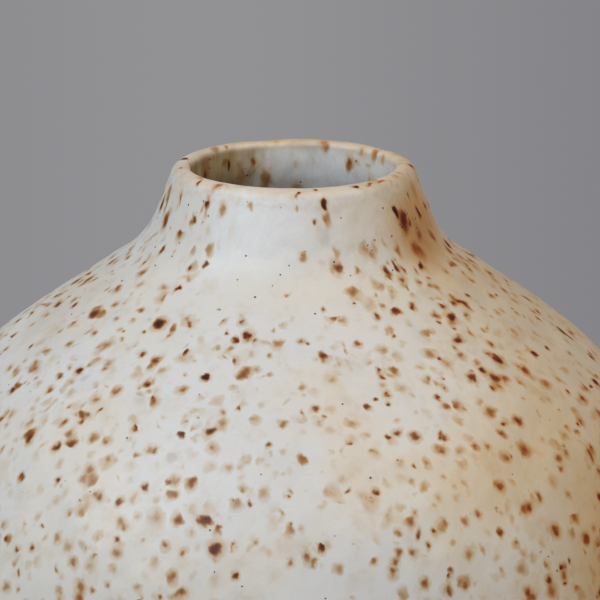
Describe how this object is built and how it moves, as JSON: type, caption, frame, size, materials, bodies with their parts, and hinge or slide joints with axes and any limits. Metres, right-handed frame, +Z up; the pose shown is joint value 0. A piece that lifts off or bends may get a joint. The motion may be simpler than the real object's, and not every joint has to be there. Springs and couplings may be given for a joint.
{
  "type": "vase",
  "caption": "Round stoneware bottle vase with a globe body, short flared neck, small rolled lip, speckled satin glaze outside, liner glaze inside and a bare trimmed foot.",
  "frame": {"origin": "centre of the foot's resting plane", "axes": "+Z up, along the vase's axis, from the foot to the mouth"},
  "size_m": [0.1506, 0.1504, 0.154],
  "materials": {
    "bare_clay": "matte",
    "outer_glaze": "satin",
    "liner_glaze": "satin"
  },
  "bodies": {
    "root": {"foot_ring": "bare_clay", "floor_disc": "bare_clay", "lower_wall": "bare_clay", "shoulder_wall": "bare_clay", "neck_collar": "bare_clay", "rim_lip": "bare_clay", "neck_glaze": "outer_glaze", "shoulder_glaze": "outer_glaze", "lower_glaze": "outer_glaze", "liner_glaze": "liner_glaze"}
  },
  "joints": []
}
